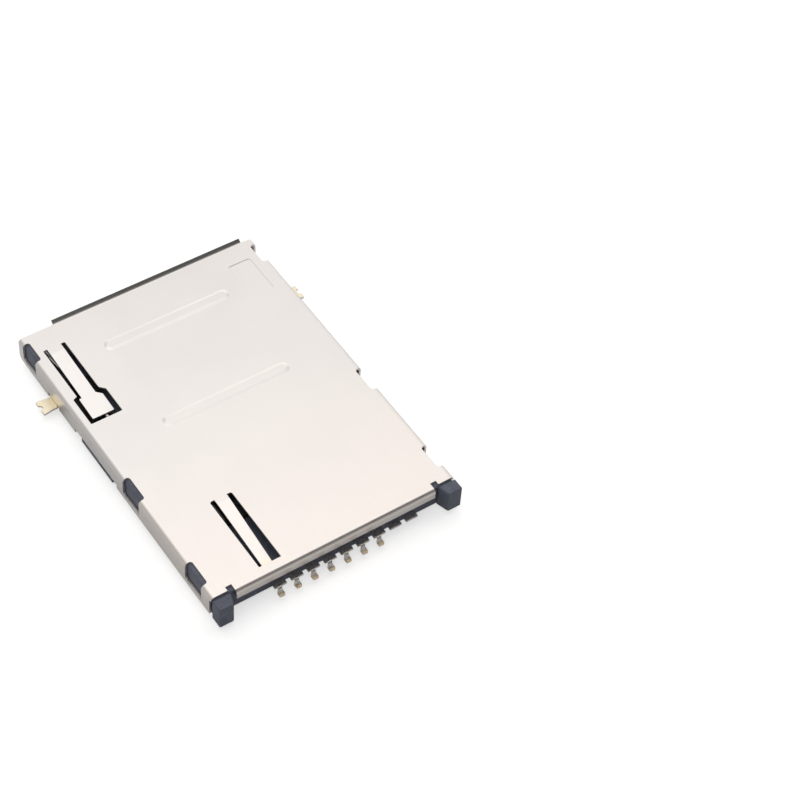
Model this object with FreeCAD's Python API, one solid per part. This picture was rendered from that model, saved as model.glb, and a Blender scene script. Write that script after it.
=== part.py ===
import math
import os

import FreeCAD, Part

# Millimetres. Origin on the board, midway between the two locating posts.
# +Y points out of the card entry, the solder tails leave towards -Y.

# Board and height
standoff = 0.0
shell_top = 1.85
sheet = 0.16
bend_radius = 0.15

# Card space and the moulded walls round it, from the card side to the bay side
card_width = 15.0
card_play = 0.2
card_corner = 3.0
floor_top = 0.75
side_wall = 0.25
side_wall_top = 1.1
bay_gap = 0.1
bay_width = 2.28
bay_wall = 0.43
shell_side_gap = 0.04

# Lengths along the card's path
rear_y = -5.27
rear_wall = 0.6
locked_gap = 2.12
card_to_b_tips = 13.05
tip_rows = 6.35
entry_land = 0.47
entry_chamfer = 0.3

# Other housing features
bay_floor = 0.45
bay_entry_wall = 2.4
rail_thickness = 0.3
rail_length = 5.5
rail_setback = 0.5
bump_rear_y = 7.4
bump_length = 4.1
bump_top = 0.35
bump_clearance = 0.05
block_height = 1.77
block_length = 0.98
block_width = 1.2
block_draft = 0.15
block_side_gap = 0.03
block_shell_gap = 0.15

# Locating posts
post_spacing = 14.0
post_radius = 0.46
post_drop = 0.5
post_round = 0.1

# Contacts
column_pitch = 2.54
column_count = 4
lead_thickness = 0.15
lead_bottom = 0.25
lead_width = 0.5
lead_wide = 0.85
shoulder_width = 0.9
shoulder_length = 0.45
tail_neck = 0.35
tail_foot = 0.42
tail_reach = 0.58
tail_shift = 0.2
contact_peak = 1.0
contact_tail = 0.5
tip_width = 0.45
root_width = 0.62
a_window_before = 1.23
a_window_after = 2.88
a_window_width = 1.47
b_window_before = 1.46
b_window_after = 2.5
b_window_width = 1.0
cross_bar = 0.42
beside_a = 0.7
beside_b_inner = 0.8
beside_b_outer = 0.8

# Underside pockets
comb_front_y = (3.6, 4.4)
comb_rear_y = (-2.2, -1.25)
comb_rib = 0.42
comb_end_cover = 0.33
pin_hole_radius = 0.5
pin_hole_setback = 1.64
pin_hole_shift = 0.15
clamp_hole = (0.68, 1.05)
clamp_hole_rise = 2.23
clamp_hole_shift = 1.41
side_hole = (0.85, 0.8)
side_hole_rise = 0.38
side_holes_x = (1.97, 2.5)
mark_radius = 0.52
mark_depth = 0.04
detect_hole = (0.48, 0.78)
detect_hole_gap = 0.25
detect_pad_gap = 0.135
detect_pad_width = 0.5
detect_rest_gap = 0.06
spring_window = (1.2, 2.4)
spring_window_gap = 0.72
bay_slot = (0.57, 2.93)
bay_slot_rear_y = 0.04

# Shell features
flange_bottom = 0.05
flange_raised = 0.4
raised_before = 0.6
raised_after = 0.9
flange_corner = 0.35
flange_rear_relief = 0.18
plate_setback = 0.09
rear_lip_gap = 0.28
rear_lip_bottom = 1.08
rear_lip_clear = 1.7
rear_notch = (0.45, 0.32)
entry_lip_setback = (0.3, 0.43)
entry_lip_length = 0.38
entry_lip_angle = 33.0
entry_lip_bend = 0.15
bend_window_depth = 0.5
bend_window_low = 0.42
bend_window_corner = 0.2
bend_window_entry = (2.4, 1.8)
bend_window_middle_y = (3.85, 5.95)
bend_window_rear = (1.27, 2.0)
tab_width = 1.05
tab_from_entry = 4.3
tab_foot = 1.07
tab_notch_radius = 0.24
tab_flare = 0.12
tab_relief = (0.22, 0.45)
rib_side_margin = (4.68, 4.12)
rib_width = 0.96
rib_rise = 0.06
rib_slope = 0.2
rib_from_entry = (3.65, 11.53)
pad_size = (1.8, 3.4)
pad_from_side = 2.03
pad_from_entry = 3.3
pad_depth = 0.03

# Spring tongues of the shell
paddle_slot = 0.3
paddle_neck = 1.06
paddle_head = 1.62
paddle_head_step = 0.2
paddle_opening = 2.36
paddle_opening_step = 0.34
paddle_from_entry = 1.8
paddle_neck_length = 4.7
paddle_head_length = 2.0
paddle_tip_gap = 0.6
paddle_drop = 0.35
finger_inset = 1.7
finger_width = (0.95, 0.75)
finger_slot = 0.35
finger_root_y = 1.4
finger_wall_gap = 0.12
finger_drop = 0.65

# Push-push mechanism
slider_travel = 3.6
lock_travel = 3.0
slider_clearance = 0.06
slider_tail_gap = 6.07
slider_step_gap = 1.1
cam_top = 1.0
cam_floor = 0.68
cam_pin_clearance = 0.075
cam_track_spacing = 0.95
cam_shift = -0.13
rod_wire = 0.3
rod_z = 1.18
rod_pivot_side = 0.56
rod_from_entry = 1.3
rod_tip_under_paddle = 0.2
pivot_clearance = 0.04
hook_top = 1.06
hook_reach = 2.82
hook_thickness = 0.65
spring_outer = 0.96
spring_wire = 0.15
spring_turns = 14
spring_end_gap = 0.02
spring_peg_length = 0.7
spring_peg_play = 0.06

# Worked out across the part
shell_under = shell_top - sheet
card_space = card_width + card_play
wall_outer = (side_wall + card_space + bay_gap + bay_width + bay_wall) / 2
half_width = wall_outer + shell_side_gap + sheet
card_max_x = wall_outer - side_wall
card_min_x = card_max_x - card_space
card_centre_x = (card_min_x + card_max_x) / 2
bay_outer_x = bay_wall - wall_outer
bay_inner_x = bay_outer_x + bay_width
bay_mid_x = (bay_outer_x + bay_inner_x) / 2
block_inner_x = half_width - block_side_gap - block_width
first_column_x = card_centre_x + column_pitch * (column_count - 1) / 2
lead_pitch = column_pitch / 2
first_lead_x = first_column_x + lead_pitch / 2
last_column_x = first_column_x - column_pitch * (column_count - 1)

# Worked out along the part
rear_inner_y = rear_y + rear_wall
plate_rear_y = rear_y + plate_setback
card_end_y = rear_inner_y + locked_gap
b_tip_y = card_end_y + card_to_b_tips
a_tip_y = b_tip_y + tip_rows
a_window = (a_tip_y - a_window_before, a_tip_y + a_window_after)
b_window = (b_tip_y - b_window_before, b_tip_y + b_window_after)
entry_y = a_window[1] + entry_land
bump_end_y = bump_rear_y + bump_length
shoulder_end_y = rear_y - shoulder_length
tail_end_y = shoulder_end_y - tail_reach
tab_y = (entry_y - tab_from_entry - tab_width, entry_y - tab_from_entry)
tab_reach = half_width + tab_foot
bend_windows = (
    (entry_y - bend_window_entry[0], entry_y - bend_window_entry[0] + bend_window_entry[1]),
    bend_window_middle_y,
    (rear_y + bend_window_rear[0], rear_y + bend_window_rear[0] + bend_window_rear[1]),
)
paddle_root_y = entry_y - paddle_from_entry
paddle_shoulder_y = paddle_root_y - paddle_neck_length
paddle_tip_y = paddle_shoulder_y - paddle_head_length
finger_x = card_min_x + finger_inset
finger_tip_y = rear_inner_y + finger_wall_gap

# Worked out for the leads and the mechanism
lead_top = lead_bottom + lead_thickness
lead_mid = lead_bottom + lead_thickness / 2
post_tip = standoff - post_drop
slider_min_x = bay_outer_x + slider_clearance
slider_max_x = bay_inner_x - slider_clearance
slider_bottom = bay_floor + slider_clearance
slider_top = shell_under - slider_clearance
slider_tail_y = rear_inner_y + slider_tail_gap
spring_x = bay_mid_x
spring_z = (slider_bottom + slider_top) / 2
rod_tip_y = paddle_tip_y - rod_tip_under_paddle
slider_step_y = rod_tip_y - slider_step_gap
rod_pivot = (bay_outer_x + rod_pivot_side, entry_y - rod_from_entry)
cam_lead_x = bay_mid_x + cam_shift + cam_track_spacing / 2
cam_return_x = bay_mid_x + cam_shift - cam_track_spacing / 2
cam_half_groove = rod_wire / 2 + cam_pin_clearance


def box(x0, x1, y0, y1, z0, z1):
    return Part.makeBox(x1 - x0, y1 - y0, z1 - z0, FreeCAD.Vector(x0, y0, z0))


def drum(x, y, radius, z0, z1):
    return Part.makeCylinder(radius, z1 - z0, FreeCAD.Vector(x, y, z0))


def plan_prism(points, z0, z1):
    """Solid over a plan outline given as (x, y) points."""
    corners = [FreeCAD.Vector(x, y, z0) for x, y in points]
    face = Part.Face(Part.makePolygon(corners + corners[:1]))
    return face.extrude(FreeCAD.Vector(0, 0, z1 - z0))


def upright_edges(shape):
    found = []
    for edge in shape.Edges:
        a = edge.firstVertex().Point
        b = edge.lastVertex().Point
        if abs(a.x - b.x) < 1e-6 and abs(a.y - b.y) < 1e-6 and abs(a.z - b.z) > 1e-6:
            found.append(edge)
    return found


def rounded_prism(points, z0, z1, radius):
    block = plan_prism(points, z0, z1)
    return block.makeFillet(radius, upright_edges(block))


def rounded_box(x0, x1, y0, y1, z0, z1, radius):
    return rounded_prism([(x0, y0), (x1, y0), (x1, y1), (x0, y1)], z0, z1, radius)


def corner_arc(before, corner, after, radius):
    """Tangent points and middle of the arc that rounds one corner of a path."""
    to_start = (before - corner).normalize()
    to_end = (after - corner).normalize()
    half = to_start.getAngle(to_end) / 2
    setback = radius / math.tan(half)
    centre_line = (to_start + to_end).normalize()
    middle = corner + centre_line * (radius / math.sin(half) - radius)
    return corner + to_start * setback, middle, corner + to_end * setback


def offset_side(path, distance):
    """Corners of the line parallel to a path, at a signed distance to its left."""
    normals = []
    for start, end in zip(path, path[1:]):
        run = (end - start).normalize()
        normals.append(FreeCAD.Vector(-run.y, run.x, 0))
    side = [path[0] + normals[0] * distance]
    for corner, first, second in zip(path[1:-1], normals, normals[1:]):
        bisector = (first + second).normalize()
        side.append(corner + bisector * (distance / bisector.dot(first)))
    side.append(path[-1] + normals[-1] * distance)
    return side


def rounded_edges(side, radii):
    """Lines and arcs along one side, rounded at its inner corners."""
    edges = []
    at = side[0]
    for index, radius in enumerate(radii):
        start, middle, end = corner_arc(at, side[index + 1], side[index + 2], radius)
        edges.append(Part.LineSegment(at, start).toShape())
        edges.append(Part.Arc(start, middle, end).toShape())
        at = end
    edges.append(Part.LineSegment(at, side[-1]).toShape())
    return edges


def sheet_section(points, thickness, radius):
    """Face of a folded sheet whose middle follows the points in a flat plane."""
    path = [FreeCAD.Vector(u, v, 0) for u, v in points]
    turns = []
    for a, b, c in zip(path, path[1:], path[2:]):
        turns.append((b - a).cross(c - b).z)
    left = offset_side(path, thickness / 2)
    right = offset_side(path, -thickness / 2)
    left_radii = [radius if turn > 0 else radius + thickness for turn in turns]
    right_radii = [radius + thickness if turn > 0 else radius for turn in turns]
    edges = rounded_edges(left, left_radii)
    edges.append(Part.LineSegment(left[-1], right[-1]).toShape())
    edges += rounded_edges(right, right_radii)
    edges.append(Part.LineSegment(right[0], left[0]).toShape())
    return Part.Face(Part.Wire(Part.__sortEdges__(edges)))


def fold_along_y(points, x0, x1, thickness, radius):
    """Folded sheet with its section in the (y, z) plane, from x0 to x1."""
    solid = sheet_section(points, thickness, radius).extrude(FreeCAD.Vector(0, 0, x1 - x0))
    to_plane = FreeCAD.Rotation(FreeCAD.Vector(1, 1, 1), 120)
    solid.Placement = FreeCAD.Placement(FreeCAD.Vector(x0, 0, 0), to_plane)
    return solid


def fold_along_x(points, y0, y1, thickness, radius):
    """Folded sheet with its section in the (x, z) plane, from y0 to y1."""
    solid = sheet_section(points, thickness, radius).extrude(FreeCAD.Vector(0, 0, y1 - y0))
    to_plane = FreeCAD.Rotation(FreeCAD.Vector(1, 0, 0), 90)
    solid.Placement = FreeCAD.Placement(FreeCAD.Vector(0, y1, 0), to_plane)
    return solid


def mirrored_x(shape):
    return shape.mirror(FreeCAD.Vector(0, 0, 0), FreeCAD.Vector(1, 0, 0))


def cut_all(shape, tools):
    return shape.cut(Part.makeCompound(tools))


def fuse_all(first, others):
    return first.multiFuse(others).removeSplitter()


# Contacts: flat leads moulded into the floor, with a sprung tongue or none

def column_x(column):
    return first_column_x - column_pitch * column


def lead_x(index):
    return first_lead_x - lead_pitch * index


def lead_strip(stations):
    """Flat lead whose plan follows (y, centre x, width) stations."""
    left = [(x - width / 2, y) for y, x, width in stations]
    right = [(x + width / 2, y) for y, x, width in stations]
    return plan_prism(left + right[::-1], lead_bottom, lead_top)


def rear_stations(x):
    """Lead from its shoulder behind the wall to the floor past both combs."""
    stations = [(shoulder_end_y, x, shoulder_width)]
    stations.append((rear_y + 0.3, x, shoulder_width))
    stations.append((rear_y + 0.3, x, lead_width))
    for near, far in (comb_rear_y, comb_front_y):
        stations.append((near - 0.5, x, lead_width))
        stations.append((near - 0.25, x, lead_wide))
        stations.append((far + 0.25, x, lead_wide))
        stations.append((far + 0.5, x, lead_width))
    return stations


def solder_tail(x):
    """Neck that steps down from the shoulder to a foot on the board."""
    foot_mid = lead_thickness / 2
    bend_y = shoulder_end_y - 0.08
    path = [(shoulder_end_y + 0.1, lead_mid), (bend_y, lead_mid)]
    path += [(bend_y - 0.14, foot_mid), (tail_end_y, foot_mid)]
    folded = fold_along_y(path, x - 1.0, x + 1.0, lead_thickness, 0.03)
    foot_x = x - tail_shift
    neck = [(x - tail_neck / 2, shoulder_end_y + 0.1), (x + tail_neck / 2, shoulder_end_y + 0.1)]
    neck += [(foot_x + tail_neck / 2, bend_y - 0.1), (foot_x - tail_neck / 2, bend_y - 0.1)]
    foot = rounded_box(foot_x - tail_foot / 2, foot_x + tail_foot / 2, tail_end_y, bend_y - 0.08, -1, 1, 0.1)
    outline = plan_prism(neck, -1, 1).fuse(foot)
    return folded.common(outline)


def tongue(x, root_y, tip_y):
    """Tapered spring rising from the lead's level to its contact point."""
    end_y = tip_y - contact_tail
    peak = contact_peak - lead_thickness / 2
    root_top = floor_top - lead_thickness
    path = [(root_y, lead_mid), (root_y - 0.35, lead_mid), (root_y - 0.9, root_top)]
    path += [(tip_y, peak), (end_y, peak - 0.32)]
    folded = fold_along_y(path, x - 1, x + 1, lead_thickness, 0.12)
    half_root = root_width / 2
    half_tip = tip_width / 2
    plan = [(x - half_root, root_y + 0.1), (x - half_tip, end_y)]
    plan += [(x + half_tip, end_y), (x + half_root, root_y + 0.1)]
    return folded.common(rounded_prism(plan, -1, 3, 0.1))


def front_stations(x, centre):
    """A row lead from the floor past the B window to the A window's far end."""
    beside = centre - beside_b_outer
    edge = centre - beside_a
    stations = [(b_window[0] - 0.9, x, lead_width), (b_window[0] - 0.4, beside, lead_width)]
    stations.append((b_window[1] + 0.6, beside, lead_width))
    stations.append((a_window[0] - 0.7, edge, lead_width))
    stations.append((a_window[1] + 0.2, edge, lead_width))
    return stations


def back_stations(x, centre):
    """B row lead from the floor along the B window to its far end."""
    beside = centre + beside_b_inner
    stations = [(b_window[0] - 0.9, x, lead_width), (b_window[0] - 0.4, beside, lead_width)]
    stations.append((b_window[1] + 0.25, beside, lead_width))
    return stations


def cross_piece(centre, side, far_y):
    """Bar that joins a lead to its tongue at the window's far end."""
    x0, x1 = sorted((centre + side, centre - math.copysign(root_width / 2, side)))
    bar = box(x0, x1, far_y - cross_bar, far_y + 0.2, lead_bottom, lead_top)
    return bar.cut(drum(centre, far_y - 0.12, 0.09, 0, shell_top))


def front_contact(column, with_tongue):
    x = lead_x(2 * column + 1)
    centre = column_x(column)
    strip = lead_strip(rear_stations(x) + front_stations(x, centre))
    pieces = [cross_piece(centre, -beside_a, a_window[1])]
    if with_tongue:
        pieces.append(tongue(centre, a_window[1] - cross_bar + 0.06, a_tip_y))
        pieces.append(solder_tail(x))
    return fuse_all(strip, pieces)


def rear_contact(column, with_tongue):
    x = lead_x(2 * column)
    centre = column_x(column)
    if not with_tongue:
        return lead_strip(rear_stations(x) + [(b_window[0] - 0.9, x, lead_width)])
    strip = lead_strip(rear_stations(x) + back_stations(x, centre))
    pieces = [cross_piece(centre, beside_b_inner, b_window[1])]
    pieces.append(tongue(centre, b_window[1] - cross_bar + 0.06, b_tip_y))
    pieces.append(solder_tail(x))
    return fuse_all(strip, pieces)


def detect_contact():
    """Short lead that stands up through the floor under the shell's finger."""
    x = lead_x(2 * column_count)
    strip = lead_strip([(shoulder_end_y, x, shoulder_width), (rear_inner_y - 0.1, x, shoulder_width)])
    pad_y = rear_inner_y + detect_pad_gap
    pad_top = finger_under(pad_y) - detect_rest_gap
    path = [(rear_inner_y - 0.3, lead_mid), (pad_y, lead_mid), (pad_y, pad_top)]
    half = detect_pad_width / 2
    pad = fold_along_y(path, x - half, x + half, lead_thickness, 0.03)
    return fuse_all(strip, [pad, solder_tail(x)])


def all_contacts():
    shapes = {}
    for column in range(column_count):
        used = column > 0
        kind = "contact" if used else "spare_lead"
        shapes[f"{kind}_a{column + 1}"] = front_contact(column, used)
        shapes[f"{kind}_b{column + 1}"] = rear_contact(column, used)
    shapes["detect_lead"] = detect_contact()
    return shapes


# Housing: one moulding round the leads

def corner_block():
    """Block behind the rear wall that stands proud of the shell's corner."""
    inner = block_inner_x
    back = rear_y - block_length
    outer = half_width - block_side_gap
    plan = [(inner + block_draft, back), (outer, back)]
    plan += [(outer, plate_rear_y - block_shell_gap), (inner - block_draft, plate_rear_y - block_shell_gap)]
    tall = plan_prism(plan, standoff, block_height)
    rear_corners = [e for e in upright_edges(tall) if e.firstVertex().Point.y < back + 0.1]
    tall = tall.makeFillet(0.12, rear_corners)
    rim = [e for e in tall.Edges if e.BoundBox.ZMin > block_height - 1e-4]
    tall = tall.makeChamfer(0.06, rim)
    foot = box(inner, wall_outer, plate_rear_y - block_shell_gap, rear_y + 0.1, standoff, shell_under)
    return tall.fuse(foot)


def side_bump():
    outer = half_width
    plan = [(wall_outer - 0.2, bump_rear_y - 0.2), (outer, bump_rear_y)]
    plan += [(outer, bump_end_y), (wall_outer - 0.2, bump_end_y + 0.2)]
    return plan_prism(plan, standoff, bump_top)


def housing_walls():
    left = box(-wall_outer, bay_outer_x, rear_y, entry_y, standoff, shell_under)
    right = box(card_max_x, wall_outer, rear_y, entry_y, standoff, side_wall_top)
    rear = box(-wall_outer, wall_outer, rear_y, rear_inner_y, standoff, shell_under)
    rail_x = card_min_x - rail_thickness
    rail_end = entry_y - rail_setback
    rail = rounded_box(rail_x, card_min_x, rail_end - rail_length, rail_end, floor_top - 0.1, shell_under, 0.1)
    return [left, right, rear, rail]


def locating_post(x):
    post = drum(x, 0, post_radius, post_tip, standoff + 0.2)
    rim = [e for e in post.Edges if e.BoundBox.ZMax < post_tip + 1e-4]
    return post.makeFillet(post_round, rim)


def comb_pockets(near, far):
    """Row of openings under the leads, parted by the plastic between them."""
    start = lead_x(0) + lead_wide / 2 - comb_end_cover
    end = lead_x(2 * column_count - 1) - lead_wide / 2 + 0.02
    pocket = box(end, start, near, far, standoff - 1, lead_bottom)
    ribs = []
    for index in range(2 * column_count - 1):
        x = lead_x(index) - lead_pitch / 2
        ribs.append(box(x - comb_rib / 2, x + comb_rib / 2, near, far, standoff - 1, lead_bottom))
    return cut_all(pocket, ribs)


def contact_openings():
    """Windows for the tongues and the mould pin holes through the floor."""
    tools = []
    for column in range(column_count):
        x = column_x(column)
        half_a = a_window_width / 2
        half_b = b_window_width / 2
        tools.append(box(x - half_a, x + half_a, a_window[0], a_window[1], -1, 3))
        tools.append(rounded_box(x - half_b, x + half_b, b_window[0], b_window[1], -1, 3, 0.15))
        pin_y = b_window[0] - pin_hole_setback
        tools.append(drum(x + pin_hole_shift, pin_y, pin_hole_radius, -1, shell_top))
        wide, deep = clamp_hole
        at = x + clamp_hole_shift
        low = b_window[0] + clamp_hole_rise - deep / 2
        tools.append(box(at - wide / 2, at + wide / 2, low, low + deep, -1, shell_top))
    wide, deep = side_hole
    low = a_window[0] + side_hole_rise - deep / 2
    for x in (first_column_x + side_holes_x[0], last_column_x - side_holes_x[1]):
        tools.append(box(x - wide / 2, x + wide / 2, low, low + deep, -1, shell_top))
    tools.append(comb_pockets(*comb_front_y))
    tools.append(comb_pockets(*comb_rear_y))
    near = rear_inner_y + detect_hole_gap
    half = detect_hole[0]
    tools.append(box(finger_x - half, finger_x + half, near, near + detect_hole[1], -1, 3))
    return tools


def underside_marks():
    """Shallow round marks of the ejector pins and a recess near the entry."""
    marks = []
    places = [(card_min_x + 0.42, entry_y - 2.4), (card_min_x + 1.82, comb_rear_y[1] + 0.25)]
    places.append((card_max_x - 2.1, comb_rear_y[1] + 0.2))
    for x, y in places:
        marks.append(drum(x, y, mark_radius, -1, standoff + mark_depth))
    marks.append(drum(card_max_x - 0.9, entry_y - 2.3, mark_radius, -1, lead_bottom))
    return marks


def bay_openings():
    """Mechanism bay beside the card, with its windows through the floor."""
    bay = box(bay_outer_x, bay_inner_x, rear_inner_y, entry_y - bay_entry_wall, bay_floor, 3)
    wide, long = spring_window
    low = rear_inner_y + spring_window_gap
    window = box(spring_x - wide / 2, spring_x + wide / 2, low, low + long, -1, 3)
    wide, long = bay_slot
    near = bay_outer_x + slider_clearance
    slot = box(near, near + wide, bay_slot_rear_y, bay_slot_rear_y + long, -1, 3)
    x, y = rod_pivot
    pin_hole = drum(x, y, rod_wire / 2 + pivot_clearance, -1, 3)
    under_hole = drum(x, y, pin_hole_radius, -1, lead_bottom + 0.1)
    rod_start = entry_y - rail_setback - rail_length
    rod_space = box(bay_outer_x, card_min_x - rail_thickness, rod_start, entry_y - 0.6, floor_top, 3)
    return [bay, window, slot, pin_hole, under_hole, rod_space]


def entry_slope():
    """Lead-in on the floor's front edge across the card width."""
    top = floor_top + 0.01
    corners = [(entry_y - entry_chamfer, top), (entry_y + 0.1, top), (entry_y + 0.1, top - entry_chamfer)]
    points = [FreeCAD.Vector(card_min_x, y, z) for y, z in corners]
    face = Part.Face(Part.makePolygon(points + points[:1]))
    return face.extrude(FreeCAD.Vector(card_max_x - card_min_x, 0, 0))


def bend_rounds():
    """Rounds along the walls' upper edges, where the shell bends over them."""
    start = plate_rear_y - 0.1
    length = entry_y + 1 - start
    strip = box(wall_outer - bend_radius, wall_outer + 0.1, start, start + length, shell_under - bend_radius, 3)
    centre = FreeCAD.Vector(wall_outer - bend_radius, start, shell_under - bend_radius)
    right = strip.cut(Part.makeCylinder(bend_radius, length, centre, FreeCAD.Vector(0, 1, 0)))
    rear = box(-wall_outer, wall_outer, rear_y, rear_y + 0.05, shell_under - 0.02, 3)
    return [right, mirrored_x(right), rear]


def make_housing(contacts):
    base = box(-wall_outer, wall_outer, rear_y, entry_y, standoff, floor_top)
    solids = housing_walls()
    for block in (corner_block(), side_bump()):
        solids += [block, mirrored_x(block)]
    base = fuse_all(base, solids)
    tools = contact_openings() + underside_marks() + bay_openings() + [entry_slope()] + bend_rounds()
    base = cut_all(base, tools)
    posts = [locating_post(side * post_spacing / 2) for side in (-1, 1)]
    base = fuse_all(base, posts)
    for lead in contacts.values():
        base = base.cut(lead)
    return base


# Shell: one folded sheet of spring steel

def fold_path():
    side = half_width - sheet / 2
    top = shell_top - sheet / 2
    return [(-side, flange_bottom), (-side, top), (side, top), (side, flange_bottom)]


def rear_lip():
    top = shell_top - sheet / 2
    face = rear_y - rear_lip_gap + sheet / 2
    path = [(plate_rear_y + 0.5, top), (face, top), (face, rear_lip_bottom)]
    half = half_width - rear_lip_clear
    return fold_along_y(path, -half, half, sheet, bend_radius)


def entry_lip():
    top = shell_top - sheet / 2
    rise = math.radians(entry_lip_angle)
    end = (entry_y + entry_lip_length * math.cos(rise), top + entry_lip_length * math.sin(rise))
    path = [(entry_y - 0.4, top), (entry_y, top), end]
    left, right = entry_lip_setback
    return fold_along_y(path, card_min_x - left, card_max_x - right, sheet, entry_lip_bend)


def solder_tab():
    """Tab that drops from the flange and turns out onto the board."""
    side = half_width - sheet / 2
    foot = sheet / 2
    path = [(side, tab_relief[1] + 0.1), (side, foot), (tab_reach, foot)]
    folded = fold_along_x(path, tab_y[0] - 0.5, tab_y[1] + 0.5, sheet, 0.08)
    middle = sum(tab_y) / 2
    plan = [(side - 1, tab_y[0]), (side + 0.4, tab_y[0]), (tab_reach, tab_y[0] - tab_flare)]
    plan += [(tab_reach, tab_y[1] + tab_flare), (side + 0.4, tab_y[1]), (side - 1, tab_y[1])]
    outline = rounded_prism(plan, -1, 3, 0.08)
    outline = outline.cut(drum(tab_reach + 0.02, middle, tab_notch_radius, -1, 3))
    return folded.common(outline)


def bend_window(side, near, far):
    """Hole across one side bend, from the plate down to near the flange's lower edge."""
    outside = side * (half_width + 1)
    a, b = sorted((side * (half_width - bend_window_depth), outside))
    top_hole = rounded_box(a, b, near, far, shell_under - bend_radius, 3, bend_window_corner)
    a, b = sorted((side * (half_width - 2 * sheet), outside))
    side_hole = box(a, b, near, far, bend_window_low, shell_under)
    low = [e for e in side_hole.Edges if e.BoundBox.XLength > sheet and e.BoundBox.ZMax < bend_window_low + 1e-4]
    return [top_hole, side_hole.makeFillet(bend_window_corner, low)]


def flange_cuts():
    """Raised stretch of the flange's lower edge, its short rear end and the relief beside the tab."""
    tools = []
    for side in (-1, 1):
        x0, x1 = sorted((side * (half_width - 0.6), side * (half_width + 0.6)))
        low = bump_rear_y - raised_before
        high = bump_end_y + raised_after
        tools.append(box(x0, x1, low, high, -1, flange_raised))
        rear_end = plate_rear_y + flange_rear_relief
        tools.append(box(x0, x1, plate_rear_y - 1, rear_end, -1, shell_under - bend_radius))
        relief, relief_top = tab_relief
        tools.append(box(x0, x1, tab_y[0] - relief, tab_y[1] + relief, -1, relief_top))
        for near, far in bend_windows:
            tools += bend_window(side, near, far)
    return tools


def rear_notches():
    tools = []
    half = half_width - rear_lip_clear
    for side in (-1, 1):
        a, b = sorted((side * half, side * (half + rear_notch[0])))
        tools.append(box(a, b, plate_rear_y - 1, plate_rear_y + rear_notch[1], -1, 3))
    return tools


def tongue_openings():
    """Openings round the paddle tongue and the straight finger."""
    shoulder = paddle_shoulder_y
    end = paddle_tip_y - paddle_tip_gap
    left = bay_mid_x - paddle_neck / 2 - paddle_slot
    right = bay_mid_x + paddle_neck / 2 + paddle_slot
    wide_left = left - paddle_opening_step
    wide_right = wide_left + paddle_opening
    plan = [(left, paddle_root_y), (left, shoulder), (wide_left, shoulder - 0.15), (wide_left, end)]
    plan += [(wide_right, end), (wide_right, shoulder - 0.38), (right, shoulder), (right, paddle_root_y)]
    paddle = rounded_prism(plan, shell_under - 1, 3, 0.07)
    half = finger_width[0] / 2 + finger_slot
    rear = plate_rear_y + flange_rear_relief
    finger = rounded_box(finger_x - half, finger_x + half, rear, finger_root_y, shell_under - 1, 3, 0.15)
    return [paddle, finger]


def paddle_tongue():
    """Neck and paddle that press the link rod into its track."""
    top = shell_top - sheet / 2
    path = [(paddle_root_y + 0.3, top), (paddle_root_y - 0.5, top), (paddle_tip_y, top - paddle_drop)]
    folded = fold_along_y(path, bay_outer_x, bay_inner_x, sheet, 0.5)
    left = bay_mid_x - paddle_neck / 2
    right = bay_mid_x + paddle_neck / 2
    neck = box(left, right, paddle_shoulder_y - 0.4, paddle_root_y + 0.3, 0, 3)
    head_left = left - paddle_head_step
    head_right = head_left + paddle_head
    head = [(head_left, paddle_tip_y), (head_right, paddle_tip_y), (head_right, paddle_shoulder_y - 0.45)]
    head += [(right, paddle_shoulder_y - 0.1), (head_left, paddle_shoulder_y - 0.1)]
    return folded.common(neck.fuse(rounded_prism(head, 0, 3, 0.07)))


def finger_path():
    top = shell_top - sheet / 2
    bend_y = finger_root_y - 0.4
    return [(finger_root_y + 0.3, top), (bend_y, top), (finger_tip_y, top - finger_drop)]


def finger_under(y):
    """Height of the finger's lower face at a place along it."""
    start, end = finger_path()[1:]
    share = (start[0] - y) / (start[0] - end[0])
    return start[1] - share * finger_drop - sheet / 2


def straight_finger():
    folded = fold_along_y(finger_path(), finger_x - 1, finger_x + 1, sheet, 0.5)
    root, tip = finger_width
    plan = [(finger_x - root / 2, finger_root_y + 0.3), (finger_x - tip / 2, finger_tip_y)]
    plan += [(finger_x + tip / 2, finger_tip_y), (finger_x + root / 2, finger_root_y + 0.3)]
    return folded.common(rounded_prism(plan, 0, 3, 0.1))


def rib(y, z0, z1, grow):
    """Stadium shaped rib across the plate."""
    half = rib_width / 2 + grow
    left = rib_side_margin[0] + rib_width / 2 - half_width
    right = half_width - rib_side_margin[1] - rib_width / 2
    bar = box(left, right, y - half, y + half, z0, z1)
    ends = [drum(x, y, half, z0, z1) for x in (left, right)]
    return bar.multiFuse(ends).removeSplitter()


def rib_outline(y, z, grow):
    """Stadium wire round the rib at one height."""
    half = rib_width / 2 + grow
    left = rib_side_margin[0] + rib_width / 2 - half_width
    right = half_width - rib_side_margin[1] - rib_width / 2
    far_left, far_right = [FreeCAD.Vector(x, y + half, z) for x in (left, right)]
    near_left, near_right = [FreeCAD.Vector(x, y - half, z) for x in (left, right)]
    right_end = Part.Arc(far_right, FreeCAD.Vector(right + half, y, z), near_right)
    left_end = Part.Arc(near_left, FreeCAD.Vector(left - half, y, z), far_left)
    edges = [Part.LineSegment(far_left, far_right), right_end, Part.LineSegment(near_right, near_left), left_end]
    return Part.Wire([e.toShape() for e in edges])


def raised_rib(y):
    """Embossed rib with gently sloping sides."""
    wires = [rib_outline(y, shell_top, 0), rib_outline(y, shell_top + rib_rise, -rib_slope)]
    crown = Part.makeLoft(wires, True, True)
    return rib(y, shell_under, shell_top, 0).fuse(crown)


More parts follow.
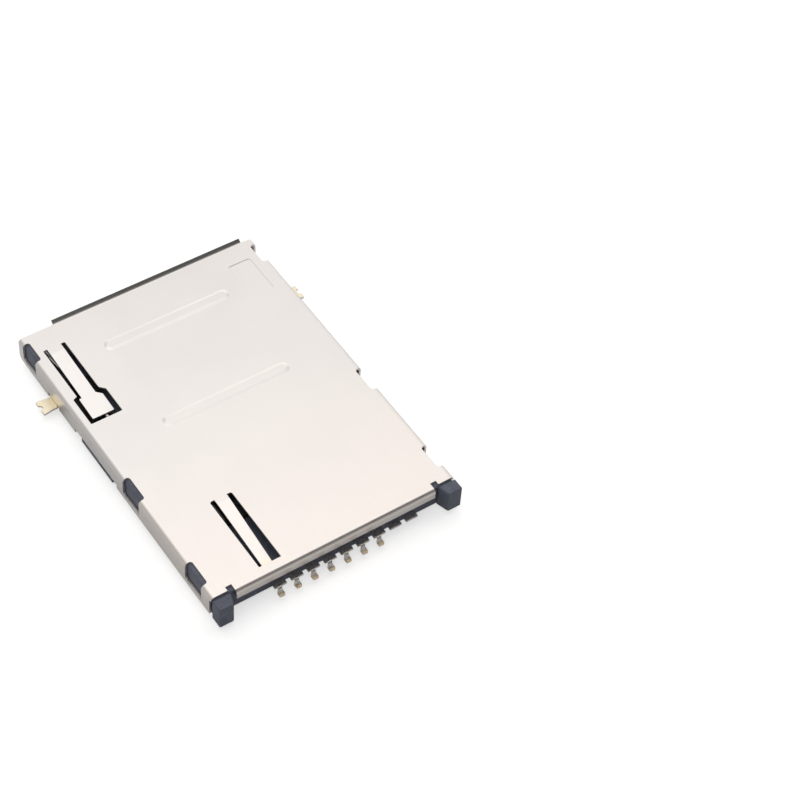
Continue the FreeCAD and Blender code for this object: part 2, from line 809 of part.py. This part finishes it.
def plain_pad():
    wide, long = pad_size
    x = half_width - pad_from_side
    y = entry_y - pad_from_entry
    return rounded_box(x - wide / 2, x + wide / 2, y - long / 2, y + long / 2, shell_top - pad_depth, 3, 0.2)


def make_shell():
    shell = fold_along_x(fold_path(), plate_rear_y, entry_y, sheet, bend_radius)
    low = [e for e in shell.Edges if e.BoundBox.ZMax < flange_bottom + 1e-4]
    ends = [e for e in low if e.BoundBox.YLength < 1e-4]
    shell = shell.makeFillet(flange_corner, ends)
    shell = cut_all(shell, flange_cuts() + rear_notches() + tongue_openings())
    tab = solder_tab()
    added = [rear_lip(), entry_lip(), tab, mirrored_x(tab), paddle_tongue(), straight_finger()]
    rib_rows = [entry_y - back for back in rib_from_entry]
    added += [raised_rib(y) for y in rib_rows]
    shell = fuse_all(shell, added)
    hollows = [rib(y, 0, shell_under + rib_rise, -sheet * 0.6) for y in rib_rows]
    return cut_all(shell, hollows + [plain_pad()])


# Push-push mechanism in the bay beside the card

def cam_pocket():
    """Track pocket with the heart shaped island that holds the rod's tip."""
    clear = cam_half_groove
    near = rod_tip_y - clear - 0.08
    far = rod_tip_y + slider_travel + clear
    left = cam_return_x - clear
    right = cam_lead_x + clear
    pocket = rounded_box(left, right, near, far, cam_floor, 3, clear * 0.9)
    middle = (cam_lead_x + cam_return_x) / 2
    lock_y = rod_tip_y + lock_travel
    lead_side = cam_lead_x - clear
    return_side = cam_return_x + clear
    heart = [(middle, rod_tip_y + 0.55), (lead_side, rod_tip_y + 1.3), (lead_side, lock_y - 0.1)]
    heart += [(lead_side - 0.12, lock_y + 0.06), (middle, lock_y - rod_wire / 2 - 0.05)]
    heart += [(return_side + 0.07, lock_y + 0.25), (return_side, lock_y), (return_side, rod_tip_y + 1.3)]
    island = plan_prism(heart, cam_floor, cam_top)
    return pocket.cut(island)


def corner_hook():
    """Slanted face that takes the card's cut corner."""
    rest_y = card_end_y + lock_travel
    slant_y = rest_y + card_corner
    back_y = rest_y - hook_thickness
    reach = card_min_x + hook_reach
    lift = reach - card_min_x
    plan = [(slider_max_x - 0.2, back_y), (reach, back_y), (reach, slant_y - lift)]
    plan += [(card_min_x, slant_y), (slider_max_x - 0.2, slant_y)]
    low = plan_prism(plan, floor_top + slider_clearance, hook_top)
    clear_x = finger_x - finger_width[0] / 2 - 0.15
    lift = clear_x - card_min_x
    plan = [(slider_max_x - 0.2, back_y), (clear_x, back_y), (clear_x, slant_y - lift)]
    plan += [(card_min_x, slant_y), (slider_max_x - 0.2, slant_y)]
    high = plan_prism(plan, floor_top + slider_clearance, slider_top)
    return [low, high]


def make_slider():
    cam_end = rod_tip_y + slider_travel + cam_half_groove + 0.3
    high = box(slider_min_x, slider_max_x, slider_tail_y, slider_step_y, slider_bottom, slider_top)
    low = box(slider_min_x, slider_max_x, slider_step_y - 0.1, cam_end, slider_bottom, cam_top)
    front = [e for e in high.Edges if e.BoundBox.YMin > slider_step_y - 1e-4]
    front_top = [e for e in front if e.BoundBox.ZMin > slider_top - 1e-4]
    slope = high.makeChamfer(0.35, front_top)
    inner_radius = spring_outer / 2 - spring_wire
    peg_start = FreeCAD.Vector(spring_x, slider_tail_y + 0.1, spring_z)
    peg_radius = inner_radius - spring_peg_play
    peg = Part.makeCylinder(peg_radius, spring_peg_length + 0.1, peg_start, FreeCAD.Vector(0, -1, 0))
    body = fuse_all(slope, [low, peg] + corner_hook())
    return body.cut(cam_pocket())


def make_link_rod():
    """Bent wire with one end turning in the floor and one in the track."""
    radius = rod_wire / 2
    x, y = rod_pivot
    pivot = FreeCAD.Vector(x, y, rod_z)
    tip = FreeCAD.Vector(cam_lead_x, rod_tip_y, rod_z)
    along = (tip - pivot).normalize()
    bend = radius * 1.3
    down = FreeCAD.Vector(0, 0, -1)
    start, first, leave = corner_arc(pivot + down, pivot, tip, bend)
    arrive, second, end = corner_arc(pivot, tip, tip + down, bend)
    foot = FreeCAD.Vector(x, y, lead_bottom + 0.14)
    point = FreeCAD.Vector(tip.x, tip.y, cam_floor + 0.06)
    edges = [Part.LineSegment(foot, start).toShape(), Part.Arc(start, first, leave).toShape()]
    edges += [Part.LineSegment(leave, arrive).toShape(), Part.Arc(arrive, second, end).toShape()]
    edges.append(Part.LineSegment(end, point).toShape())
    section = Part.Wire(Part.makeCircle(radius, foot, FreeCAD.Vector(0, 0, 1)))
    return Part.Wire(edges).makePipeShell([section], True, False)


def make_return_spring():
    """Coil spring between the rear wall and the slider's tail."""
    radius = (spring_outer - spring_wire) / 2
    start = rear_inner_y + spring_end_gap + spring_wire / 2
    length = slider_tail_y - spring_end_gap - spring_wire / 2 - start
    helix = Part.makeHelix(length / spring_turns, length, radius)
    circle = Part.makeCircle(spring_wire / 2, FreeCAD.Vector(radius, 0, 0), FreeCAD.Vector(0, 1, 0))
    coil = Part.Wire(helix.Edges).makePipeShell([Part.Wire(circle)], True, True)
    coil.rotate(FreeCAD.Vector(0, 0, 0), FreeCAD.Vector(1, 0, 0), -90)
    coil.translate(FreeCAD.Vector(spring_x, start, spring_z))
    return coil


def make_parts():
    parts = all_contacts()
    parts["housing"] = make_housing(parts)
    parts["shell"] = make_shell()
    parts["slider"] = make_slider()
    parts["link_rod"] = make_link_rod()
    parts["return_spring"] = make_return_spring()
    return parts


os.makedirs("parts", exist_ok=True)
for name, shape in make_parts().items():
    shape.exportStep(f"parts/{name}.step")
    print(name, len(shape.Solids), shape.isValid(), round(shape.Volume, 3))
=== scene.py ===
import math

import bmesh
import bpy
from mathutils import Matrix, Vector


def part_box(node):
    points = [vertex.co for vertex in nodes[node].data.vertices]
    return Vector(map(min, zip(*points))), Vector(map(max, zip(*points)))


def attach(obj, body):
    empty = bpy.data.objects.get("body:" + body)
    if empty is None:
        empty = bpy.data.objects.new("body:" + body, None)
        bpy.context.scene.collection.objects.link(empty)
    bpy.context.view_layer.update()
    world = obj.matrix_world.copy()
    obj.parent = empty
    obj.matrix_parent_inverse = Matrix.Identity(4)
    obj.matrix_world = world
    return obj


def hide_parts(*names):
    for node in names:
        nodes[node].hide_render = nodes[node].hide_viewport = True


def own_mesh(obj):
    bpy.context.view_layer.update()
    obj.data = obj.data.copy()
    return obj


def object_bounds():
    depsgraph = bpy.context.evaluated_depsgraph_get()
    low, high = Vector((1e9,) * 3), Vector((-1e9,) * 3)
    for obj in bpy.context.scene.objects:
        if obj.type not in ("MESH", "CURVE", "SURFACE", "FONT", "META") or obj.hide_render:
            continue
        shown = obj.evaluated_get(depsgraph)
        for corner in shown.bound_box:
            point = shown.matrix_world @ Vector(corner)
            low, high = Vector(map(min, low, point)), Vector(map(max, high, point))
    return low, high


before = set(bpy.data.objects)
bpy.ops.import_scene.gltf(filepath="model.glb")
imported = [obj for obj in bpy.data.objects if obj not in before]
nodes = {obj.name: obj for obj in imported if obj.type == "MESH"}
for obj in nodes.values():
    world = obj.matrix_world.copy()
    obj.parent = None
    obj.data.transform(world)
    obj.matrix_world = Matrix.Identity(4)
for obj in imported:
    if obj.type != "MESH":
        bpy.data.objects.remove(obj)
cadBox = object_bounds()
mm = 0.001
print("frame loaded:", len(nodes), "nodes")


# Camera of the photograph, 800 x 800

camera = {
    "place": Vector((-51.19, -76.76, 120.38)) * mm,
    "right": Vector((0.82692, -0.55970, 0.05419)),
    "up": Vector((0.40057, 0.65394, 0.64180)),
    "back": Vector((-0.39465, -0.50901, 0.76496)),
    "sensorWidth": 36.0,
    "lens": 103.14,
    "seesFrom": 0.001,
    "seesTo": 10.0,
}


def addCamera():
    lens = bpy.data.cameras.new("photoCamera")
    lens.sensor_width = camera["sensorWidth"]
    lens.lens = camera["lens"]
    lens.clip_start = camera["seesFrom"]
    lens.clip_end = camera["seesTo"]
    holder = bpy.data.objects.new("photoCamera", lens)
    turn = Matrix((camera["right"], camera["up"], camera["back"])).transposed()
    holder.matrix_world = Matrix.Translation(camera["place"]) @ turn.to_4x4()
    bpy.context.scene.collection.objects.link(holder)
    bpy.context.scene.camera = holder


addCamera()
print("camera set")


# Node helpers: each material reads the object coordinates, in millimetres.
# A noise is given as cells per mm, detail, roughness and stretch along X, Y and Z.
# A share is given as the range it reads and the range it turns that into.

mostNoise = (0.3, 0.7)  # where most values of a noise lie


def startMaterial(name):
    material = bpy.data.materials.new(name)
    material.use_nodes = True
    tree = material.node_tree
    return material, tree, tree.nodes["Principled BSDF"]


def addNode(tree, kind, **values):
    node = tree.nodes.new(kind)
    for key, value in values.items():
        setattr(node, key, value)
    return node


def places(tree, stretch=(1, 1, 1)):
    coords = addNode(tree, "ShaderNodeTexCoord")
    mapping = addNode(tree, "ShaderNodeMapping")
    mapping.inputs["Scale"].default_value = [s / mm for s in stretch]
    tree.links.new(coords.outputs["Object"], mapping.inputs["Vector"])
    return mapping.outputs["Vector"]


def noise(tree, perMm, detail=3.0, rough=0.55, stretch=(1, 1, 1)):
    node = addNode(tree, "ShaderNodeTexNoise")
    node.inputs["Scale"].default_value = perMm
    node.inputs["Detail"].default_value = detail
    node.inputs["Roughness"].default_value = rough
    tree.links.new(places(tree, stretch), node.inputs["Vector"])
    return node.outputs["Fac"]


def span(tree, value, low, high, toLow=0.0, toHigh=1.0):
    node = addNode(tree, "ShaderNodeMapRange", interpolation_type="SMOOTHSTEP")
    node.inputs["From Min"].default_value = low
    node.inputs["From Max"].default_value = high
    node.inputs["To Min"].default_value = toLow
    node.inputs["To Max"].default_value = toHigh
    tree.links.new(value, node.inputs["Value"])
    return node.outputs["Result"]


def times(tree, *values):
    result = values[0]
    for value in values[1:]:
        node = addNode(tree, "ShaderNodeMath", operation="MULTIPLY")
        tree.links.new(result, node.inputs[0])
        tree.links.new(value, node.inputs[1])
        result = node.outputs[0]
    return result


def either(tree, first, second):
    node = addNode(tree, "ShaderNodeMath", operation="MAXIMUM")
    tree.links.new(first, node.inputs[0])
    tree.links.new(second, node.inputs[1])
    return node.outputs[0]


def blendColor(tree, share, low, high):
    node = addNode(tree, "ShaderNodeMix", data_type="RGBA")
    tree.links.new(share, node.inputs["Factor"])
    for socket, value in ((node.inputs[6], low), (node.inputs[7], high)):
        if isinstance(value, tuple):
            socket.default_value = (*value, 1)
        else:
            tree.links.new(value, socket)
    return node.outputs[2]


def axes(tree):
    split = addNode(tree, "ShaderNodeSeparateXYZ")
    tree.links.new(places(tree), split.inputs[0])
    return split.outputs[0], split.outputs[1], split.outputs[2]


def within(tree, value, low, high, soft):
    above = span(tree, value, low - soft, low + soft)
    below = span(tree, value, high - soft, high + soft, 1.0, 0.0)
    return times(tree, above, below)


def relief(tree, shader, height, strength, distance, edgeRadius=0.0, samples=4):
    bump = addNode(tree, "ShaderNodeBump")
    bump.inputs["Strength"].default_value = strength
    bump.inputs["Distance"].default_value = distance * mm
    tree.links.new(height, bump.inputs["Height"])
    if edgeRadius:
        bevel = addNode(tree, "ShaderNodeBevel", samples=samples)
        bevel.inputs["Radius"].default_value = edgeRadius * mm
        tree.links.new(bevel.outputs["Normal"], bump.inputs["Normal"])
    tree.links.new(bump.outputs["Normal"], shader.inputs["Normal"])


def finishSurface(tree, shader, look, tone, wear, metallic=0.0):
    tree.links.new(tone, shader.inputs["Base Color"])
    rough = span(tree, wear, *mostNoise, *look["rough"])
    tree.links.new(rough, shader.inputs["Roughness"])
    shader.inputs["Metallic"].default_value = metallic


# Rolled stainless sheet of the shell, gold on the tabs and the finger's tip

shellLook = {
    "cool": (0.89, 0.862, 0.842),
    "warm": (0.93, 0.895, 0.868),
    "cloudNoise": (0.16, 2.0),
    "warmShare": (0.35, 0.65),
    "paintedWarmHighlight": (0.965, 0.89, 0.835),
    "paintedWarmHighlightY": (-5.0, 11.0, 0.85, 0.0),  # painted warm highlight, most at the tails' end of the plate
    "grain": (0.90, 0.868, 0.835),
    "grainNoise": (7.0, 4.0, 0.6),
    "grainShare": (0.3, 0.7, 0.0, 0.5),
    "speck": (0.80, 0.75, 0.69),
    "speckShare": (0.64, 0.74, 0.0, 0.3),
    "rolledNoise": (1.6, 3.0, 0.5, (6, 0.25, 6)),  # drawn out along Y, as the sheet was rolled
    "rough": (0.32, 0.37),
    "relief": (0.3, 0.006, 0.03),
    "lipPaintedShade": (0.42, 0.41, 0.39),  # painted shade: the entry lip's dark reflection, darker than the plate, as in the photograph
    "lipPaintedShadeY": (20.24, 20.30),
    "gold": (1.0, 0.90, 0.68),
    "goldEdge": 0.02,
    "tabY": (14.83, 15.92),
    "tabZ": (0.74, 0.78, 1.0, 0.0),
    "fingerX": (-5.12, -4.12),
    "fingerY": (-4.3, -3.85, 0.7, 0.0),
    "fingerZ": (1.5, 1.58, 1.0, 0.0),
    "fingerEndY": (-4.8, -4.7),
}


def shellSteel():
    look = shellLook
    material, tree, shader = startMaterial("shellSteel")
    x, y, z = axes(tree)
    grain = noise(tree, *look["grainNoise"])
    rolled = noise(tree, *look["rolledNoise"])
    cloud = noise(tree, *look["cloudNoise"])
    tone = blendColor(tree, span(tree, cloud, *look["warmShare"]), look["cool"], look["warm"])
    # painted highlight: the plate turns warmer and brighter towards the tails' end
    tone = blendColor(tree, span(tree, y, *look["paintedWarmHighlightY"]), tone, look["paintedWarmHighlight"])
    tone = blendColor(tree, span(tree, grain, *look["grainShare"]), tone, look["grain"])
    tone = blendColor(tree, span(tree, grain, *look["speckShare"]), tone, look["speck"])
    # painted shade: a dark band along the entry lip
    tone = blendColor(tree, span(tree, y, *look["lipPaintedShadeY"]), tone, look["lipPaintedShade"])
    onTab = times(
        tree,
        within(tree, y, *look["tabY"], look["goldEdge"]),
        span(tree, z, *look["tabZ"]),
    )
    onTip = times(
        tree,
        within(tree, x, *look["fingerX"], look["goldEdge"]),
        span(tree, y, *look["fingerY"]),
        span(tree, z, *look["fingerZ"]),
        span(tree, y, *look["fingerEndY"]),
    )
    tone = blendColor(tree, either(tree, onTab, onTip), tone, look["gold"])
    finishSurface(tree, shader, look, tone, rolled, metallic=1.0)
    relief(tree, shader, grain, *look["relief"])
    return material


# Blue-grey moulding with short glass fibres near the surface

plasticLook = {
    "dark": (0.076, 0.088, 0.126),
    "pale": (0.150, 0.168, 0.222),
    "flowNoise": (0.7, 8.0, 0.8),
    "flowShare": (0.25, 0.75),
    "mottleNoise": (9.0, 4.0, 0.7),
    "mottleShare": (0.35, 0.8, 0.0, 0.4),
    "fibre": (0.34, 0.36, 0.39),
    "fibreNoise": (9.0, 2.0, 0.5, (0.45, 3.2, 1.4)),
    "fibreShare": (0.62, 0.72, 0.0, 0.35),
    "matteAndPaintedLight": (0.345, 0.37, 0.42),
    "matteAndPaintedLightZ": (0.05, 0.1, 1.0, 0.0),  # the underside and the posts: matte grain, and a lighter tone that is painted light from below
    "matteSpeck": (0.20, 0.215, 0.255),
    "matteMottle": (0.3, 0.75),
    "matteFlow": (0.3, 0.7, 0.0, 0.5),
    "matteFibre": (0.58, 0.7, 0.0, 0.4),
    "rough": (0.42, 0.6),
    "relief": (0.35, 0.02, 0.05),
}


def mouldedPlastic():
    look = plasticLook
    material, tree, shader = startMaterial("mouldedPlastic")
    flow = noise(tree, *look["flowNoise"])
    mottle = noise(tree, *look["mottleNoise"])
    fibre = noise(tree, *look["fibreNoise"])
    tone = blendColor(tree, span(tree, flow, *look["flowShare"]), look["dark"], look["pale"])
    tone = blendColor(tree, span(tree, mottle, *look["mottleShare"]), tone, look["pale"])
    tone = blendColor(tree, span(tree, fibre, *look["fibreShare"]), tone, look["fibre"])
    speck = look["matteSpeck"]
    matteAndPaintedLight = blendColor(tree, span(tree, mottle, *look["matteMottle"]), look["matteAndPaintedLight"], speck)
    matteAndPaintedLight = blendColor(tree, span(tree, flow, *look["matteFlow"]), matteAndPaintedLight, speck)
    matteAndPaintedLight = blendColor(tree, span(tree, fibre, *look["matteFibre"]), matteAndPaintedLight, look["fibre"])
    z = axes(tree)[2]
    # painted light: the underside and the posts get a much lighter tone, as lit from below, with
    # their own matte grain
    tone = blendColor(tree, span(tree, z, *look["matteAndPaintedLightZ"]), tone, matteAndPaintedLight)
    finishSurface(tree, shader, look, tone, mottle)
    relief(tree, shader, mottle, *look["relief"])
    return material


# Copper alloy leads: bright nickel, gold on the contact points and the feet

leadLook = {
    "nickel": (0.86, 0.83, 0.78),
    "tarnish": (0.62, 0.58, 0.52),
    "wipeNoise": (2.2, 4.0, 0.6, (3.0, 0.6, 1.0)),
    "tarnishShare": (0.4, 0.75, 0.0, 0.35),
    "gold": (0.98, 0.80, 0.58),
    "peakZ": (0.74, 0.86),
    "footY": (-6.12, -6.02, 1.0, 0.0),
    "rough": (0.24, 0.36),
    "relief": (0.2, 0.006, 0.03),
}


def leadMetal():
    look = leadLook
    material, tree, shader = startMaterial("leadMetal")
    y, z = axes(tree)[1:]
    wipe = noise(tree, *look["wipeNoise"])
    worn = span(tree, wipe, *look["tarnishShare"])
    tone = blendColor(tree, worn, look["nickel"], look["tarnish"])
    gold = either(tree, span(tree, z, *look["peakZ"]), span(tree, y, *look["footY"]))
    tone = blendColor(tree, gold, tone, look["gold"])
    finishSurface(tree, shader, look, tone, wipe, metallic=1.0)
    relief(tree, shader, wipe, *look["relief"])
    return material


# Black acetal of the slider

sliderLook = {
    "dark": (0.012, 0.012, 0.014),
    "pale": (0.028, 0.028, 0.032),
    "noise": (6.0, 4.0, 0.6),
    "rough": (0.35, 0.5),
    "relief": (0.2, 0.01, 0.03),
}

# Drawn spring wire of the coil and the link rod

wireLook = {
    "dark": (0.58, 0.57, 0.55),
    "pale": (0.78, 0.77, 0.75),
    "noise": (4.0, 3.0, 0.6, (1.0, 0.4, 3.0)),
    "rough": (0.18, 0.3),
    "relief": (0.15, 0.004),
}


def plainSurface(name, look, metallic):
    material, tree, shader = startMaterial(name)
    fine = noise(tree, *look["noise"])
    tone = blendColor(tree, span(tree, fine, *mostNoise), look["dark"], look["pale"])
    finishSurface(tree, shader, look, tone, fine, metallic)
    relief(tree, shader, fine, *look["relief"])
    return material


def dress(name, material):
    mesh = nodes[name].data
    mesh.materials.clear()
    mesh.materials.append(material)


steel = shellSteel()
plastic = mouldedPlastic()
leads = leadMetal()
black = plainSurface("blackPlastic", sliderLook, metallic=0.0)
wire = plainSurface("drawnWire", wireLook, metallic=1.0)
for name in nodes:
    if name.startswith(("contact", "spare", "detect")):
        dress(name, leads)
dress("shell", steel)
dress("housing", plastic)
dress("slider", black)
dress("link_rod", wire)
dress("return_spring", wire)
print("materials on the frame")


def addPiece(name, mesh, material, body):
    piece = bpy.data.objects.new(name, bpy.data.meshes.new(name))
    mesh.to_mesh(piece.data)
    mesh.free()
    piece.data.materials.append(material)
    for polygon in piece.data.polygons:
        polygon.use_smooth = True
    bpy.context.scene.collection.objects.link(piece)
    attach(piece, body)
    return piece


# Return coil, wound at one fixed length in the return spring's place; the real coil shortens
# with the slider's stroke

coil = {"turns": 14, "stepsPerTurn": 22, "wire": 0.15 * mm, "wireSides": 10}


def addCoil():
    low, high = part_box("return_spring")
    middle = (low + high) / 2
    radius = (high.x - low.x - coil["wire"]) / 2
    start = low.y + coil["wire"] / 2
    length = high.y - low.y - coil["wire"]
    mesh = bmesh.new()
    ring = bmesh.ops.create_circle(mesh, segments=coil["wireSides"], radius=coil["wire"] / 2)
    at = (middle.x + radius, start, middle.z)
    bmesh.ops.translate(mesh, verts=ring["verts"], vec=at)
    steps = coil["turns"] * coil["stepsPerTurn"]
    bmesh.ops.spin(
        mesh, geom=mesh.edges[:], cent=(middle.x, start, middle.z), axis=(0, 1, 0),
        dvec=(0, length / steps, 0), angle=2 * math.pi * coil["turns"], steps=steps,
    )
    ends = [edge for edge in mesh.edges if edge.is_boundary]
    bmesh.ops.holes_fill(mesh, edges=ends, sides=0)
    bmesh.ops.recalc_face_normals(mesh, faces=mesh.faces[:])
    piece = addPiece("returnCoil", mesh, wire, "base")
    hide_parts("return_spring")
    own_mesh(piece)


addCoil()
print("coil wound")


# Witness rings that the ejector pins leave on the underside

ejectorMarks = {
    "places": ((-5.9, 17.8), (-4.5, -1.0), (6.78, -1.05)),
    "bottomZ": 0.04,  # how deep the pins' marks are
    "radius": 0.5,
    "bead": 0.022,
    "beadSides": 8,
    "steps": 40,
}


def addEjectorMarks():
    upright = Matrix.Rotation(math.pi / 2, 3, "X")
    for index, (x, y) in enumerate(ejectorMarks["places"]):
        at = Vector((x, y, ejectorMarks["bottomZ"])) * mm
        rim = at + Vector((ejectorMarks["radius"] * mm, 0, 0))
        mesh = bmesh.new()
        bead = bmesh.ops.create_circle(
            mesh, segments=ejectorMarks["beadSides"], radius=ejectorMarks["bead"] * mm
        )
        bmesh.ops.rotate(mesh, verts=bead["verts"], cent=(0, 0, 0), matrix=upright)
        bmesh.ops.translate(mesh, verts=bead["verts"], vec=rim)
        bmesh.ops.spin(
            mesh, geom=mesh.edges[:], cent=at, axis=(0, 0, 1),
            angle=2 * math.pi, steps=ejectorMarks["steps"], use_merge=True,
        )
        bmesh.ops.recalc_face_normals(mesh, faces=mesh.faces[:])
        addPiece(f"ejectorRing{index + 1}", mesh, plastic, "base")


addEjectorMarks()
print("moulding marks added")


# Studio: a white floor, one soft lamp, and a dome that is bright where the plate mirrors it,
# dark where the entry lip mirrors it, and glows low down on the bright side for the ribs' slopes

studio = {
    "floorSize": 3.0,
    "floorTone": 0.8,
    "floorRough": 0.9,
    "floorSeen": 0.6,
    "floorMirrored": 0.02,
    "domeTint": (0.985, 0.968, 0.955),
    "brightSide": (0.395, 0.509, 0.765),
    "brightFacing": (-0.45, 0.9, 0.36, 0.84),
    "darkSide": (0.395, -0.493, 0.777),
    "darkFacing": (0.88, 0.97, 1.0, 0.02),
    "glowZ": (0.12, 0.66, 1.0, 0.0),
    "glowFacing": (0.65, 0.85),
    "horizonGlow": 2.6,
    "lowY": (-0.3, 0.1, 1.0, 0.0),
    "lowZ": (0.5, 0.75, 1.0, 0.0),
    "lowLevel": 0.72,
    "zenithZ": (0.7, 0.83, 0.8, 1.17),
    "lampPlace": (0.07, 0.16, 0.42),
    "lampSize": 0.3,
    "lampWatts": 0.085,
}


def whiteFloor():
    material, tree, shader = startMaterial("paleFloor")
    shader.inputs["Base Color"].default_value = (*[studio["floorTone"]] * 3, 1)
    shader.inputs["Roughness"].default_value = studio["floorRough"]
    shader.inputs["Specular IOR Level"].default_value = 0.0
    path = addNode(tree, "ShaderNodeLightPath")
    seen = span(tree, path.outputs["Is Camera Ray"], 0.0, 1.0, 0.0, studio["floorSeen"])
    mirrored = either(tree, path.outputs["Is Glossy Ray"], path.outputs["Is Transmission Ray"])
    mirrored = span(tree, mirrored, 0.0, 1.0, 0.0, studio["floorMirrored"])
    shader.inputs["Emission Color"].default_value = (1, 1, 1, 1)
    tree.links.new(either(tree, seen, mirrored), shader.inputs["Emission Strength"])
    return material


def addFloor():
    mesh = bmesh.new()
    bmesh.ops.create_grid(mesh, x_segments=1, y_segments=1, size=studio["floorSize"] / 2)
    bmesh.ops.translate(mesh, verts=mesh.verts[:], vec=(0, 0, cadBox[0].z))  # under the posts
    floor = bpy.data.objects.new("floor", bpy.data.meshes.new("floor"))
    mesh.to_mesh(floor.data)
    mesh.free()
    floor.data.materials.append(whiteFloor())
    bpy.context.scene.collection.objects.link(floor)


def facing(tree, direction, side):
    toward = addNode(tree, "ShaderNodeVectorMath", operation="DOT_PRODUCT")
    toward.inputs[1].default_value = side
    tree.links.new(direction, toward.inputs[0])
    return toward.outputs["Value"]


def addDome():
    world = bpy.data.worlds.new("dome")
    world.use_nodes = True
    tree = world.node_tree
    direction = addNode(tree, "ShaderNodeTexCoord").outputs["Generated"]
    split = addNode(tree, "ShaderNodeSeparateXYZ")
    tree.links.new(direction, split.inputs[0])
    y, z = split.outputs[1], split.outputs[2]
    towardBright = facing(tree, direction, studio["brightSide"])
    bright = span(tree, towardBright, *studio["brightFacing"])
    dark = span(tree, facing(tree, direction, studio["darkSide"]), *studio["darkFacing"])
    glow = times(
        tree, span(tree, z, *studio["glowZ"]), span(tree, towardBright, *studio["glowFacing"])
    )
    glow = span(tree, glow, 0.0, 1.0, 1.0, studio["horizonGlow"])
    low = times(tree, span(tree, y, *studio["lowY"]), span(tree, z, *studio["lowZ"]))
    low = span(tree, low, 0.0, 1.0, 1.0, studio["lowLevel"])
    zenith = span(tree, z, *studio["zenithZ"])
    light = times(tree, bright, dark, glow, low, zenith)
    path = addNode(tree, "ShaderNodeLightPath")
    shown = addNode(tree, "ShaderNodeMix", data_type="FLOAT")
    tree.links.new(path.outputs["Is Camera Ray"], shown.inputs["Factor"])
    tree.links.new(light, shown.inputs[2])
    shown.inputs[3].default_value = 1.0  # the camera itself sees plain white
    background = tree.nodes["Background"]
    tree.links.new(shown.outputs[0], background.inputs["Strength"])
    background.inputs["Color"].default_value = (*studio["domeTint"], 1)
    bpy.context.scene.world = world


def addLamp():
    lamp = bpy.data.lights.new("softbox", "AREA")
    lamp.size = studio["lampSize"]
    lamp.energy = studio["lampWatts"]
    holder = bpy.data.objects.new("softbox", lamp)
    holder.location = studio["lampPlace"]
    holder.rotation_euler = (-Vector(studio["lampPlace"])).to_track_quat("-Z", "Y").to_euler()
    bpy.context.scene.collection.objects.link(holder)


addFloor()
addDome()
addLamp()
bpy.context.scene.view_settings.view_transform = "Standard"
print("studio lit")
